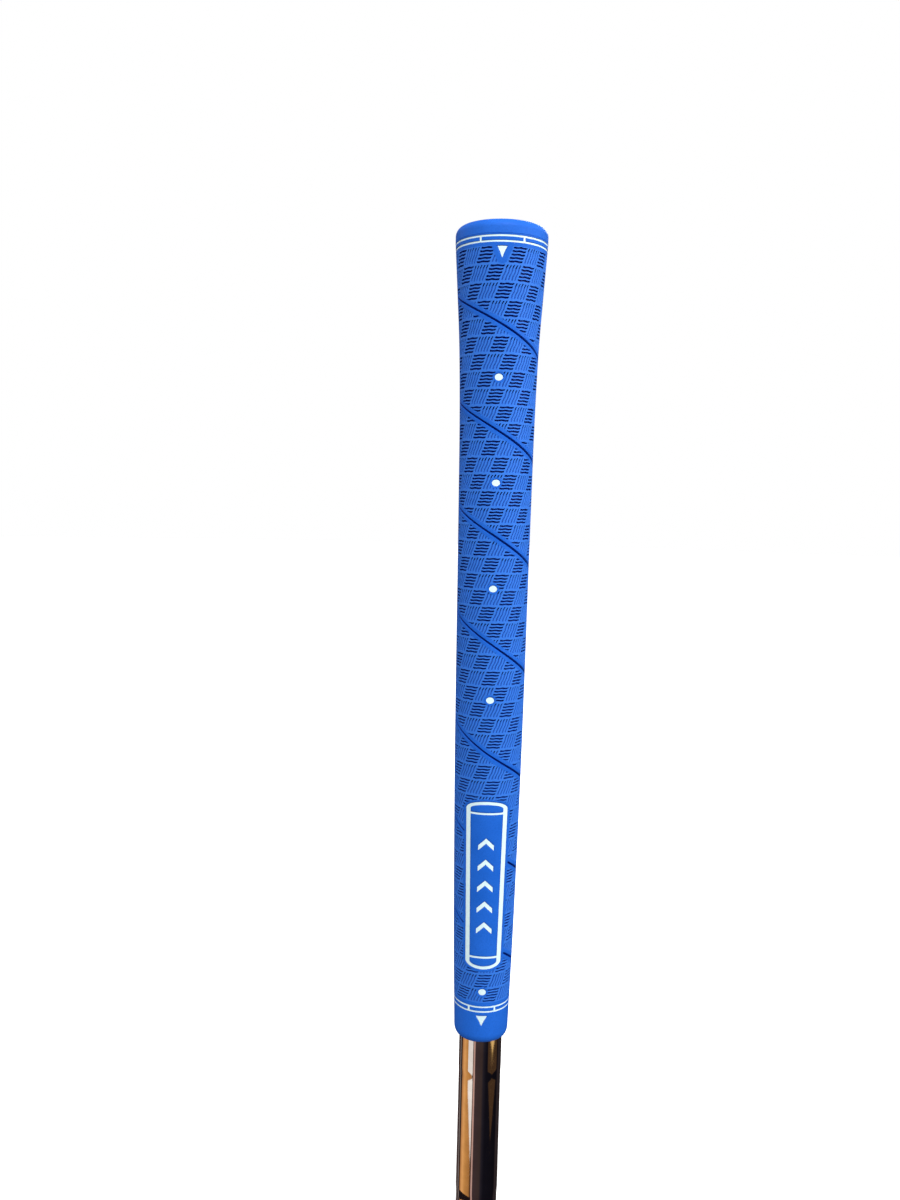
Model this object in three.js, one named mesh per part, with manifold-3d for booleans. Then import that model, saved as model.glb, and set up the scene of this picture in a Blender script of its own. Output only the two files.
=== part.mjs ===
// A moulded rubber golf grip, fitted with tape on the butt end of a stepped steel shaft.
//
// The club's axis is Z, with the butt of the grip up. The origin is the centre of the cut end
// of the shaft. The side that faces the golfer at address, with the white marks, faces -Y.
// Heights in the tables are measured from the grip's mouth, where the shaft comes out, or
// down from the butt, so that the marks stay with the end that they belong to.

import Module from 'manifold-3d';
import * as THREE from 'three';
import { mergeVertices } from 'three/addons/utils/BufferGeometryUtils.js';

const wasm = await Module();
wasm.setup();

// ---- Driving dimensions, in millimetres ----

const gripLength = 270; // mouth to butt face
const stubLength = 72; // bare shaft below the mouth

const shaftDiameter = 14.7; // butt section
const shaftWall = 0.6;
const shaftStepDrop = 0.2; // taken off the diameter at the first step
const shaftLastDrop = 0.3; // taken off the diameter at the second step
const firstStepBelowMouth = 12.5;
const shaftStepSpacing = 44.5;
const shaftStepLength = 1.2; // height of each conical step

const tapeThickness = 0.25; // two plies of double-sided paper tape
const tapeGap = 0.05; // glue line each side of the tape
const tapeStartAboveMouth = 9;
const tapeTuckLength = 12; // folded down inside the shaft's butt
const lipClearance = 0.08; // between the mouth's lip and the bare shaft
const lipLength = 6; // narrow part of the bore at the mouth

// Rubber over the bore, as [height above the mouth, wall] and then [depth below the butt, wall].
const collarWall = 1.55;
const lowerWalls = [[25, 2.2], [54, 2.85], [96, 3.55]];
const upperWalls = [[94, 4.23], [54, 4.74], [29, 5.65], [14, 6.7]];
const capWall = 7.23;

const collarHeight = 4; // where the collar's rounding has reached the full wall
const mouthRounding = 3;
const mouthLand = 0.15; // width of the flat that is left round the mouth

const capThickness = 4.8;
const capRounding = 2.8;
const capJointGap = 0.05; // bond line between the cap and the sleeve
const capPlugLength = 8;
const capPlugClearance = 0.1;
const ventDiameter = 3;
const capRingRadius = 9; // shallow ring sunk in the butt face
const capRingWidth = 1;
const capRingDepth = 0.4;
const shaftEndGap = 0.3; // between the taped end of the shaft and the cap's plug

// White enamel, wiped into shallow recesses.
const recessDepth = 0.5;
const enamelFloorGap = 0.1;
const enamelSideGap = 0.1;
const enamelSunk = 0.1; // how far the enamel lies below the rubber's surface

const buttRingBelowButt = 6.4; // middle of the two lines
const tipRingAboveMouth = 12.3;
const ringLineSpacing = 1.65;
const ringLineWidth = 0.6;
const tieWidth = 0.7;
const tieAngles = [27.5, 90, 152.5]; // degrees each side of the front

const arrowHeight = 3.5;
const buttArrowWidth = 3.1;
const tipArrowWidth = 3.7;
const arrowRingGap = 1.5; // between a ring's middle line pair and its arrow

const dotWidth = 2.7;
const dotHeight = 2.2;
const topDotBelowButt = 48.4;
const lowDotAboveBadge = 33.9;
const dotSteps = [33.1, 33.9, 36.4]; // shares of the run from the top dot to the low dot
const tipDotAboveMouth = 18.5;

const badgeBottom = 26.6; // above the mouth, to the lowest point of the bottom arc
const badgeHeight = 57.7;
const badgeTopWidth = 13.9; // straight across, as seen from the front
const badgeBottomWidth = 11.9;
const badgeArcRise = 2.5;
const badgeBarWidth = 1.35;
const badgeArcWidth = 1;
const badgeShoulder = 0.9; // how square the ends are, from 0 for pointed to 1 for square
const badgeLineWidth = 0.6;
const badgeLineInset = 1.3; // from the corners to the near edge of the cross line
const badgeMargin = 1.5; // plain rubber outside the badge

const chevronCount = 5;
const chevronWidth = 5.2;
const chevronStroke = 1.7;
const chevronRise = 2.4;
const chevronMargin = 8; // from the cross lines to the first and last chevron

const grooveRadius = 0.4; // the spiral groove's half-round section
const grooveLean = 2; // how much steeper it runs in front than behind
const groovePitchLow = 31.7; // below the low dot
const grooveEndMargin = 4.6; // from the ring's middle to the groove's end

const aroundCount = 44; // flats round every turned piece
const stepsPerTurn = 20;
const roundingSteps = 5;
const outlineSpacing = 16; // between the rings of a turned piece's long sides

// ---- Sizes that follow from those ----

const mouth = stubLength;
const butt = mouth + gripLength;
const shaftRadius = shaftDiameter / 2;
const shaftBore = shaftRadius - shaftWall;
const tapeInner = shaftRadius + tapeGap;
const tapeOuter = tapeInner + tapeThickness;
const boreRadius = tapeOuter + tapeGap;
const lipRadius = shaftRadius + lipClearance;
const capSeat = butt - capThickness;
const plugEnd = capSeat - capPlugLength;
const shaftTop = plugEnd - shaftEndGap - tapeThickness - tapeGap;
const badgeTop = badgeBottom + badgeHeight;
const reach = boreRadius + capWall + 10; // outside everything

const wallStations = [
  [collarHeight, collarWall],
  ...lowerWalls,
  ...upperWalls.map(([depth, wall]) => [gripLength - depth, wall]),
  [gripLength - capThickness, capWall],
];
const wallCurve = new THREE.CubicInterpolant(
  Float64Array.from(wallStations, ([height]) => height),
  Float64Array.from(wallStations, ([, wall]) => wall),
  1,
);

// The radius of the rubber's outside at a height above the mouth.
function outsideAt(height) {
  const lowest = collarHeight;
  const highest = gripLength - capThickness;
  const inside = Math.min(Math.max(height, lowest), highest);
  return boreRadius + wallCurve.evaluate(inside)[0];
}

// ---- Solids ----

// A closed mesh as a manifold solid, from its places alone.
function toSolid(geometry) {
  const bare = geometry.clone();
  bare.deleteAttribute('normal');
  bare.deleteAttribute('uv');
  const merged = mergeVertices(bare);
  return new wasm.Manifold(new wasm.Mesh({
    numProp: 3,
    vertProperties: Float32Array.from(merged.attributes.position.array),
    triVerts: Uint32Array.from(merged.index.array),
  }));
}

function toGeometry(solid) {
  const mesh = solid.getMesh();
  const geometry = new THREE.BufferGeometry();
  geometry.setAttribute('position', new THREE.BufferAttribute(mesh.vertProperties, 3));
  geometry.setIndex(new THREE.BufferAttribute(mesh.triVerts, 1));
  return geometry;
}

// Turns a closed outline of [radius, z] pairs, outside going up and inside coming down.
function turned(outline) {
  const loop = [...outline, outline[0]];
  const points = loop.map(([radius, z]) => new THREE.Vector2(radius, z));
  return new THREE.LatheGeometry(points, aroundCount).rotateX(Math.PI / 2);
}

// Evenly spaced heights above the mouth, with both ends.
function heightsBetween(low, high, spacing) {
  const count = Math.max(1, Math.ceil((high - low) / spacing));
  return Array.from({ length: count + 1 }, (_, i) => low + ((high - low) * i) / count);
}

// The layer of the sleeve that lies between two depths under its surface.
function skin(low, high, upperDepth, lowerDepth) {
  const heights = heightsBetween(low, high, outlineSpacing);
  const outer = heights.map((height) => [outsideAt(height) - upperDepth, mouth + height]);
  const inner = heights.map((height) => [outsideAt(height) - lowerDepth, mouth + height]);
  return toSolid(turned([...outer, ...inner.reverse()]));
}

// An upright outline of [x, height above the mouth], pushed out to the front and then turned
// round the grip by an angle in degrees.
function pushedOut(shape, angle = 0) {
  const geometry = new THREE.ExtrudeGeometry(shape, { depth: reach, bevelEnabled: false, curveSegments: 8 });
  geometry.rotateX(Math.PI / 2);
  geometry.rotateZ(THREE.MathUtils.degToRad(angle));
  geometry.translate(0, 0, mouth);
  return toSolid(geometry);
}

// ---- Outlines of the marks; grow is how far a recess stands outside its enamel ----

function arrowShape(width, base, grow) {
  const half = width / 2 + grow * 1.6;
  const apex = base - arrowHeight - grow * 2;
  const top = base + grow;
  const shape = new THREE.Shape();
  shape.moveTo(0, apex);
  shape.quadraticCurveTo(half * 0.4, (apex + top) / 2, half, top);
  shape.lineTo(-half, top);
  shape.quadraticCurveTo(-half * 0.4, (apex + top) / 2, 0, apex);
  return shape;
}

function dotShape(height, grow) {
  const shape = new THREE.Shape();
  shape.absellipse(0, height, dotWidth / 2 + grow, dotHeight / 2 + grow, 0, 2 * Math.PI);
  return shape;
}

// Half of the badge's width at a height, outside its side bars.
function badgeHalf(height) {
  const share = (height - badgeBottom) / badgeHeight;
  return THREE.MathUtils.lerp(badgeBottomWidth, badgeTopWidth, share) / 2;
}

// A four-sided outline with sides that follow the badge's bars and arched top and bottom.
function badgeCell(target, low, high, inset, lowRise, highRise) {
  const halfLow = badgeHalf(low) - inset;
  const halfHigh = badgeHalf(high) - inset;
  const foot = low - (4 / 3) * lowRise;
  const head = high + (4 / 3) * highRise;
  target.moveTo(-halfLow, low);
  target.bezierCurveTo(-halfLow * badgeShoulder, foot, halfLow * badgeShoulder, foot, halfLow, low);
  target.lineTo(halfHigh, high);
  target.bezierCurveTo(halfHigh * badgeShoulder, head, -halfHigh * badgeShoulder, head, -halfHigh, high);
  target.closePath();
  return target;
}

const cornerLow = badgeBottom + badgeArcRise;
const cornerHigh = badgeTop - badgeArcRise;
const windowLow = cornerLow + badgeLineInset + badgeLineWidth;
const windowHigh = cornerHigh - badgeLineInset - badgeLineWidth;

function badgeOutline(grow) {
  return badgeCell(new THREE.Shape(), cornerLow - grow, cornerHigh + grow, -grow, badgeArcRise, badgeArcRise);
}

function badgeShape(grow) {
  const shape = badgeOutline(grow);
  const inset = badgeBarWidth + grow;
  const lens = badgeArcRise - badgeArcWidth;
  const lowLens = badgeCell(new THREE.Path(), cornerLow + grow, windowLow - badgeLineWidth - grow, inset, lens, 0);
  const window = badgeCell(new THREE.Path(), windowLow + grow, windowHigh - grow, inset, 0, 0);
  const highLens = badgeCell(new THREE.Path(), windowHigh + badgeLineWidth + grow, cornerHigh - grow, inset, 0, lens);
  shape.holes.push(lowLens, window, highLens);
  return shape;
}

function chevronShape(foot, grow) {
  const half = chevronWidth / 2 + grow;
  const low = foot - grow;
  const high = foot + chevronStroke + grow;
  const shape = new THREE.Shape();
  shape.moveTo(-half, low);
  shape.lineTo(0, low + chevronRise);
  shape.lineTo(half, low);
  shape.lineTo(half, high);
  shape.lineTo(0, high + chevronRise);
  shape.lineTo(-half, high);
  shape.closePath();
  return shape;
}

function barShape(width, low, high) {
  const shape = new THREE.Shape();
  shape.moveTo(-width / 2, low);
  shape.lineTo(width / 2, low);
  shape.lineTo(width / 2, high);
  shape.lineTo(-width / 2, high);
  shape.closePath();
  return shape;
}

// ---- Marks: the enamel, and the recess that it lies in ----

const enamelLayer = (low, high) => skin(low, high, enamelSunk, recessDepth - enamelFloorGap);
const recessLayer = (low, high) => skin(low, high, -1, recessDepth);

// makeShape(grow) gives the outline, which lies between the heights low and high.
function flatMark(makeShape, low, high) {
  return {
    enamel: pushedOut(makeShape(0)).intersect(enamelLayer(low - 1, high + 1)),
    recess: pushedOut(makeShape(enamelSideGap)).intersect(recessLayer(low - 1, high + 1)),
  };
}

// Two lines round the grip, joined by short ties.
function ringMark(middle) {
  const lines = [middle - ringLineSpacing / 2, middle + ringLineSpacing / 2];
  const makeRing = (layer, grow) => {
    const half = ringLineWidth / 2 + grow;
    const hoops = lines.map((height) => layer(height - half, height + half));
    const span = layer(lines[0] - half / 2, lines[1] + half / 2);
    const bar = barShape(tieWidth + 2 * grow, lines[0] - half / 2, lines[1] + half / 2);
    const angles = tieAngles.flatMap((angle) => [angle, -angle]);
    const ties = angles.map((angle) => pushedOut(bar, angle).intersect(span));
    return [...hoops, ...ties].reduce((joined, piece) => joined.add(piece));
  };
  return {
    enamel: makeRing(enamelLayer, 0),
    recess: makeRing(recessLayer, enamelSideGap),
  };
}

const buttRingHeight = gripLength - buttRingBelowButt;
const buttArrowBase = buttRingHeight - ringLineSpacing / 2 - arrowRingGap;
const tipArrowBase = tipRingAboveMouth - ringLineSpacing / 2 - arrowRingGap;
const topDot = gripLength - topDotBelowButt;
const lowDot = badgeTop + lowDotAboveBadge;
const stepsTotal = dotSteps.reduce((sum, step) => sum + step);

// The dots' heights, from the top dot down to the low one.
function dotHeights() {
  const heights = [topDot];
  for (const step of dotSteps) {
    heights.push(heights.at(-1) - ((topDot - lowDot) * step) / stepsTotal);
  }
  return heights;
}

const dots = dotHeights();
const marks = {
  butt_ring_enamel: ringMark(buttRingHeight),
  tip_ring_enamel: ringMark(tipRingAboveMouth),
  butt_arrow_enamel: flatMark((grow) => arrowShape(buttArrowWidth, buttArrowBase, grow),
    buttArrowBase - arrowHeight, buttArrowBase),
  tip_arrow_enamel: flatMark((grow) => arrowShape(tipArrowWidth, tipArrowBase, grow),
    tipArrowBase - arrowHeight, tipArrowBase),
  badge_frame_enamel: flatMark(badgeShape, badgeBottom, badgeTop),
};
[...dots, tipDotAboveMouth].forEach((height, index) => {
  marks[`dot_enamel_${index + 1}`] = flatMark((grow) => dotShape(height, grow),
    height - dotHeight / 2, height + dotHeight / 2);
});

const firstChevron = windowLow + chevronMargin;
const lastChevron = windowHigh - chevronMargin - chevronStroke - chevronRise;
for (let index = 0; index < chevronCount; index += 1) {
  const foot = THREE.MathUtils.lerp(firstChevron, lastChevron, index / (chevronCount - 1));
  marks[`chevron_enamel_${index + 1}`] = flatMark((grow) => chevronShape(foot, grow),
    foot, foot + chevronStroke + chevronRise);
}

// ---- The spiral groove ----

// Heights where the groove crosses the front line: half way between the dots, and on below.
function grooveCrossings() {
  const firstGap = dots[0] - dots[1];
  const lastGap = dots.at(-2) - dots.at(-1);
  const crossings = [dots[0] + 1.5 * firstGap, dots[0] + firstGap / 2];
  for (let index = 1; index < dots.length; index += 1) {
    crossings.push((dots[index - 1] + dots[index]) / 2);
  }
  crossings.push(dots.at(-1) - lastGap / 2);
  while (crossings.at(-1) > 0) {
    crossings.push(crossings.at(-1) - groovePitchLow);
  }
  return crossings;
}

// Points down the middle of the groove, on the rubber's surface.
function groovePoints() {
  const crossings = grooveCrossings();
  const low = tipRingAboveMouth + grooveEndMargin;
  const high = buttRingHeight - grooveEndMargin;
  const points = [];
  for (let step = 0; step < (crossings.length - 1) * stepsPerTurn; step += 1) {
    const turn = step / stepsPerTurn;
    const whole = Math.floor(turn);
    const angle = 2 * Math.PI * turn;
    const level = THREE.MathUtils.lerp(crossings[whole], crossings[whole + 1], turn - whole);
    const height = level - grooveLean * Math.sin(angle);
    if (height > low && height < high) {
      const radius = outsideAt(height);
      points.push(new THREE.Vector3(radius * Math.sin(angle), -radius * Math.cos(angle), mouth + height));
    }
  }
  return points;
}

function grooveCutter() {
  const points = groovePoints();
  const section = new THREE.Shape();
  section.absarc(0, 0, grooveRadius, 0, 2 * Math.PI);
  const geometry = new THREE.ExtrudeGeometry(section, {
    steps: points.length - 1,
    curveSegments: 2,
    extrudePath: new THREE.CatmullRomCurve3(points),
  });
  return toSolid(geometry).subtract(pushedOut(badgeOutline(badgeMargin)));
}

// ---- Pieces ----

// The steel tube, stepped down twice below the mouth, with the same wall all the way.
function makeShaft() {
  const firstStep = mouth - firstStepBelowMouth;
  const secondStep = firstStep - shaftStepSpacing;
  const middle = shaftRadius - shaftStepDrop / 2;
  const lowest = middle - shaftLastDrop / 2;
  const outer = [
    [lowest, 0],
    [lowest, secondStep - shaftStepLength],
    [middle, secondStep],
    [middle, firstStep - shaftStepLength],
    [shaftRadius, firstStep],
    [shaftRadius, shaftTop],
  ];
  const inner = outer.map(([radius, z]) => [radius - shaftWall, z]);
  return turned([...outer, ...inner.reverse()]);
}

// The tape goes up the outside, over the shaft's end and down into its bore.
function makeTape() {
  const start = mouth + tapeStartAboveMouth;
  const foldUnder = shaftTop + tapeGap;
  const foldTop = foldUnder + tapeThickness;
  const tuckOuter = shaftBore - tapeGap;
  const tuckInner = tuckOuter - tapeThickness;
  const tuckEnd = shaftTop - tapeTuckLength;
  return turned([
    [tapeInner, start],
    [tapeOuter, start],
    [tapeOuter, foldTop],
    [tuckInner, foldTop],
    [tuckInner, tuckEnd],
    [tuckOuter, tuckEnd],
    [tuckOuter, foldUnder],
    [tapeInner, foldUnder],
  ]);
}

// A quarter of an ellipse, as points from one end to the other.
function rounding(centreRadius, centreZ, radiusReach, zReach, from, to) {
  const curve = new THREE.EllipseCurve(centreRadius, centreZ, radiusReach, zReach, from, to);
  return curve.getPoints(roundingSteps).map((point) => [point.x, point.y]);
}

function sleeveBlank() {
  const mouthRadius = lipRadius + mouthLand;
  const collarRadius = outsideAt(collarHeight);
  const lip = rounding(mouthRadius, mouth + mouthRounding, collarRadius - mouthRadius, mouthRounding,
    -Math.PI / 2, 0);
  const top = gripLength - capThickness - capJointGap;
  const heights = heightsBetween(collarHeight, top, outlineSpacing);
  const body = heights.map((height) => [outsideAt(height), mouth + height]);
  return turned([
    ...lip,
    ...body,
    [boreRadius, mouth + top],
    [boreRadius, mouth + lipLength],
    [lipRadius, mouth + lipLength - 1],
    [lipRadius, mouth],
  ]);
}

function makeSleeve() {
  const recesses = Object.values(marks).map((mark) => mark.recess);
  const cuts = [...recesses, grooveCutter()];
  return toGeometry(cuts.reduce((rest, cut) => rest.subtract(cut), toSolid(sleeveBlank())));
}

// The cap is moulded on its own: a disc with a plug that stands in the sleeve's bore.
function makeCap() {
  const vent = ventDiameter / 2;
  const plug = boreRadius - capPlugClearance;
  const outside = outsideAt(gripLength);
  const edge = rounding(outside - capRounding, butt - capRounding, capRounding, capRounding, 0, Math.PI / 2);
  const ringFloor = butt - capRingDepth;
  const ringOuter = capRingRadius + capRingWidth / 2;
  const ringInner = capRingRadius - capRingWidth / 2;
  return turned([
    [vent, plugEnd],
    [plug, plugEnd],
    [plug, capSeat],
    [outside, capSeat],
    ...edge,
    [ringOuter, butt],
    [ringOuter, ringFloor],
    [ringInner, ringFloor],
    [ringInner, butt],
    [vent, butt],
  ]);
}

// ---- The assembly ----

const finishes = {
  rubber: { color: '#1f4fb0', roughness: 0.75, metalness: 0 },
  capRubber: { color: '#1c49a6', roughness: 0.6, metalness: 0 },
  steel: { color: '#c9ccd1', roughness: 0.15, metalness: 1 },
  tape: { color: '#d9cfae', roughness: 0.9, metalness: 0 },
  enamel: { color: '#e9f4f8', roughness: 0.5, metalness: 0 },
};

const grip = new THREE.Group();

function addPiece(name, geometry, finish) {
  const material = new THREE.MeshStandardMaterial({ ...finishes[finish], flatShading: true });
  const piece = new THREE.Mesh(geometry, material);
  piece.name = name;
  grip.add(piece);
}

addPiece('shaft_tube', makeShaft(), 'steel');
addPiece('grip_tape', makeTape(), 'tape');
addPiece('rubber_sleeve', makeSleeve(), 'rubber');
addPiece('butt_cap', makeCap(), 'capRubber');
for (const [name, mark] of Object.entries(marks)) {
  addPiece(name, toGeometry(mark.enamel), 'enamel');
}

export default grip;
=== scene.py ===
# %% [markdown]
# # A golf grip on the end of its shaft
#
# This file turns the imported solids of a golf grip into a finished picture, one piece at a
# time. The solids fix every size and place. Here each piece gets the shape and the finish
# that the eye expects: woven grooves in blue rubber, white enamel and bright chrome plate.

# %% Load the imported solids
import math

import bmesh
import bpy
import numpy as np
from mathutils import Matrix, Vector


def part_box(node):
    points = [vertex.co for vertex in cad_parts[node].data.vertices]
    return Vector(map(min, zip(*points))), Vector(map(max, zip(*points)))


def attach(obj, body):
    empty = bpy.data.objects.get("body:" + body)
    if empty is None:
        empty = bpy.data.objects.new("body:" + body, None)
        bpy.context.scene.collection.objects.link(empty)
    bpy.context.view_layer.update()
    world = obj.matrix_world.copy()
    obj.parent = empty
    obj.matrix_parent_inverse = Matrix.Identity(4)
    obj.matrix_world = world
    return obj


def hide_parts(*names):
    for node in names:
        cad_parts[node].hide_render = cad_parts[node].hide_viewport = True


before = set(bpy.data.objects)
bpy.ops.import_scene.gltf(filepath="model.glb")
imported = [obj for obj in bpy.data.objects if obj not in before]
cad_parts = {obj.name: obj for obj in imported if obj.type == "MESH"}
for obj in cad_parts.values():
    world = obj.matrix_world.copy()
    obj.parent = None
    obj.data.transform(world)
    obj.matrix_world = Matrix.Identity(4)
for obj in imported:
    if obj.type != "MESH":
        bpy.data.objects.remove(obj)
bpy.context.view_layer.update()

MM = 0.001
far = 1.0  # metres, more than any real distance on the grip
print("solids:", sorted(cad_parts))

# %% [markdown]
# ## Reading the sizes back from the solids
#
# A finished piece has to sit exactly where its solid sits. The safest way is to measure the
# solid and not to type its sizes again. The sleeve is a turned part with many flat facets,
# so its true radius is found where a whole ring of corners shares one height. A smooth
# curve through those rings then gives the radius at any height.

# %% Measure the sleeve, the cap and the shaft
same_height = 0.002 * MM
same_radius = 0.004 * MM


def rings(node, fewest=24):
    """[height, outer radius, inner radius] wherever a solid has a whole ring of corners."""
    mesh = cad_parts[node].data
    places = np.empty(len(mesh.vertices) * 3)
    mesh.vertices.foreach_get("co", places)
    places = places.reshape(-1, 3)
    places = places[np.argsort(places[:, 2])]
    cuts = np.flatnonzero(np.diff(places[:, 2]) > same_height) + 1
    found = []
    for level in np.split(places, cuts):
        height = level[0, 2]
        level = np.unique(np.round(level[:, :2], 6), axis=0)
        radii = np.hypot(level[:, 0], level[:, 1])
        if (radii > radii.max() - same_radius).sum() >= fewest:
            found.append((height, radii.max(), radii.min()))
    return np.array(found)


sleeve_low, sleeve_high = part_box("rubber_sleeve")
cap_low, cap_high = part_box("butt_cap")
shaft_low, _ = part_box("shaft_tube")
mouth = sleeve_low.z
butt = cap_high.z
joint_height = sleeve_high.z
mouth_rounding = 3 * MM

sleeve_rings = rings("rubber_sleeve")
_, land_radius, lip_radius = sleeve_rings[0]
bore_radius = sleeve_rings[-1, 2]
above_rounding = sleeve_rings[:, 0] > mouth + mouth_rounding - 0.01 * MM
on_outside = sleeve_rings[:, 1] > bore_radius * 1.1  # leaves out rings of the bore alone
body_rings = sleeve_rings[above_rounding & on_outside]
print(f"grip {(butt - mouth) / MM:.1f} mm long, bore radius {bore_radius / MM:.2f} mm")

# %% A smooth radius for any height
def smooth_curve(places, values):
    """A function that follows the values smoothly, with no overshoot between them."""
    slopes = np.gradient(values, places)

    def value_at(wanted):
        wanted = np.clip(wanted, places[0], places[-1])
        index = np.clip(np.searchsorted(places, wanted) - 1, 0, len(places) - 2)
        step = places[index + 1] - places[index]
        t = (wanted - places[index]) / step
        low = (1 + 2 * t) * (1 - t) ** 2 * values[index] + t * (1 - t) ** 2 * step * slopes[index]
        high = t**2 * (3 - 2 * t) * values[index + 1] - t**2 * (1 - t) * step * slopes[index + 1]
        return low + high

    return value_at


fewest_apart = 4 * MM  # rings closer than this would make the curve wavy
keep = [0]
for number in range(1, len(body_rings)):
    if body_rings[number, 0] - body_rings[keep[-1], 0] > fewest_apart:
        keep.append(number)
keep[-1] = len(body_rings) - 1
body_radius = smooth_curve(body_rings[keep, 0], body_rings[keep, 1])
for height in (mouth + 4 * MM, (mouth + butt) / 2, joint_height):
    above = (height - mouth) / MM
    print(f"radius {body_radius(height) / MM:.2f} mm at {above:.0f} mm above the mouth")

# %% [markdown]
# ## Small helpers for modelling by operator
#
# Blender's operators act on whatever is selected, so each step starts by deselecting all
# that there is. Edges and faces are then chosen by where they are, which still works when
# a size changes, as an index in a list would not.

# %% Selecting and finishing helpers
smallest_gap = 0.0001 * MM  # corners closer than this are one


def add_primitive(operator, name, **settings):
    """Adds one primitive and returns it, with nothing else selected."""
    bpy.ops.object.select_all(action="DESELECT")
    operator(**settings)
    piece = bpy.context.object
    piece.name = name
    piece.data.name = name
    return piece


def select_only(pieces):
    """Selects some pieces and nothing else, and makes the first one active."""
    bpy.ops.object.select_all(action="DESELECT")
    for piece in pieces:
        piece.select_set(True)
    bpy.context.view_layer.objects.active = pieces[0]


def edit_mesh(piece, mode, choose):
    """In edit mode, selects the elements of one kind that choose(element) accepts."""
    select_only([piece])
    bpy.ops.object.mode_set(mode="EDIT")
    bpy.context.tool_settings.mesh_select_mode = [mode == kind for kind in ("VERT", "EDGE", "FACE")]
    bpy.ops.mesh.select_all(action="DESELECT")
    data = bmesh.from_edit_mesh(piece.data)
    kinds = {"VERT": data.verts, "EDGE": data.edges, "FACE": data.faces}
    for element in kinds[mode]:
        element.select_set(bool(choose(element)))
    data.select_flush_mode()
    bmesh.update_edit_mesh(piece.data)


def leave_edit():
    bpy.ops.object.mode_set(mode="OBJECT")


def settle(piece, smooth_angle=35):
    """Puts the piece's place into its mesh and shades it smooth up to an angle."""
    select_only([piece])
    bpy.ops.object.transform_apply(location=True, rotation=True, scale=True)
    bpy.ops.object.shade_smooth_by_angle(angle=math.radians(smooth_angle))


def join(name, pieces):
    """Makes some pieces one mesh under a new name."""
    select_only(pieces)
    bpy.ops.object.join()
    pieces[0].name = pieces[0].data.name = name
    return pieces[0]


def declare(piece, node, smooth_angle=35):
    """Settles a finished piece, hangs it under the root body and hides the solid it stands for."""
    settle(piece, smooth_angle)
    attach(piece, "root")
    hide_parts(node)
    faces = sum(len(polygon.vertices) - 2 for polygon in piece.data.polygons)
    print(f"{piece.name}: {faces} triangles")
    return piece


def flat_outline(name, outline):
    """A closed loop of edges through (x, z) points, made from a circle of as many corners."""
    piece = add_primitive(bpy.ops.mesh.primitive_circle_add, name, vertices=len(outline), radius=1)
    for vertex, (x, z) in zip(piece.data.vertices, outline):
        vertex.co = (x, 0, z)
    return piece


def merge_and_leave():
    """Merges doubles, turns the faces outwards and leaves edit mode."""
    bpy.ops.mesh.select_all(action="SELECT")
    bpy.ops.mesh.remove_doubles(threshold=smallest_gap)
    bpy.ops.mesh.normals_make_consistent(inside=False)
    leave_edit()


def turned_ring(name, outline, steps):
    """Spins a closed outline of (radius, height) points round the club's axis."""
    piece = flat_outline(name, outline)
    edit_mesh(piece, "VERT", lambda vertex: True)
    bpy.ops.mesh.spin(steps=steps, angle=2 * math.pi, center=(0, 0, 0), axis=(0, 0, 1))
    merge_and_leave()
    return piece

# %% [markdown]
# ## The plan of the weave
#
# The grooves imitate woven cord. They lie in rows of square cells, and each cell holds five
# short grooves that run either round the grip or along it, turn and turn about. Every row
# is shifted a little, so the cells lean. The mould's grid is laid on the unrolled surface,
# where one direction is the height and the other is the distance round from the middle of
# the front. The back half of the mould has the same plan, centred on the back, and the two
# halves meet in a fine parting line at each side.

# %% The weave's sizes
row_count = 47
first_line = mouth + 260.9 * MM  # the topmost groove
row_pitch_top = 5.44 * MM
row_pitch_change = -0.0083 * MM  # the rows close up a little towards the mouth
cell_width = 5.2 * MM
row_shift = 2.075 * MM
first_cell = 0.715 * MM  # middle of an upright cell in the top row
line_count = 5
line_share = 1.03 / 5.4  # of a row's pitch, from one groove to the next round the grip
rib_spacing = 1.03 * MM  # from one groove to the next along the grip
groove_half = 0.29 * MM
groove_floor_half = 0.2 * MM
upright_half = 0.22 * MM
upright_floor_half = 0.17 * MM
groove_depth = 0.6 * MM
upright_share = 0.38  # the upright grooves are shallower than those that run round
top_end_share = 1.2  # but deeper at their top ends
top_end_from = -0.28  # of a row's pitch, from its middle groove
wave_height = 0.075 * MM
wave_count = 2  # waves along each groove
wave_reach = 0.49  # of a row's pitch, so that the lines between rows stay straight

rows = np.arange(row_count + 1)
row_tops = first_line - rows * row_pitch_top - row_pitch_change * rows * (rows - 1) / 2
row_pitch = -np.diff(row_tops)
weave_top = first_line + 0.5 * MM
weave_bottom = row_tops[-1] + row_pitch[-1] * 0.12  # just above where one more row would start
weave_ends = [round((height - mouth) / MM, 1) for height in (weave_bottom, weave_top)]
print("weave from", weave_ends[0], "to", weave_ends[1], "mm above the mouth")

# %% [markdown]
# ## The lines that the weave has to leave clear
#
# A spiral groove runs down the whole grip with a plain band on each side of it. The marks
# have plain rubber round them too. Each of these is written as a distance: how far a point
# of the unrolled surface is from the line, in metres. Depth and trimming follow from it.

# %% The spiral groove's path
def middle_height(node):
    low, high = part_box(node)
    return (low.z + high.z) / 2


dot_nodes = [f"dot_enamel_{number}" for number in range(1, 6)]
dot_heights = [middle_height(node) for node in dot_nodes]
spiral_pitch_low = 31.7 * MM  # below the lowest dot
spiral_pitch = 34 * MM  # about its mean, which says how steeply it runs
spiral_lean = 2.0 * MM  # how much steeper it runs in front than behind
spiral_half = 0.44 * MM
spiral_depth = 0.65 * MM
spiral_margin = 1.4 * MM
spiral_overrun = 40 * MM  # the path goes on this far below the mouth


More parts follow.
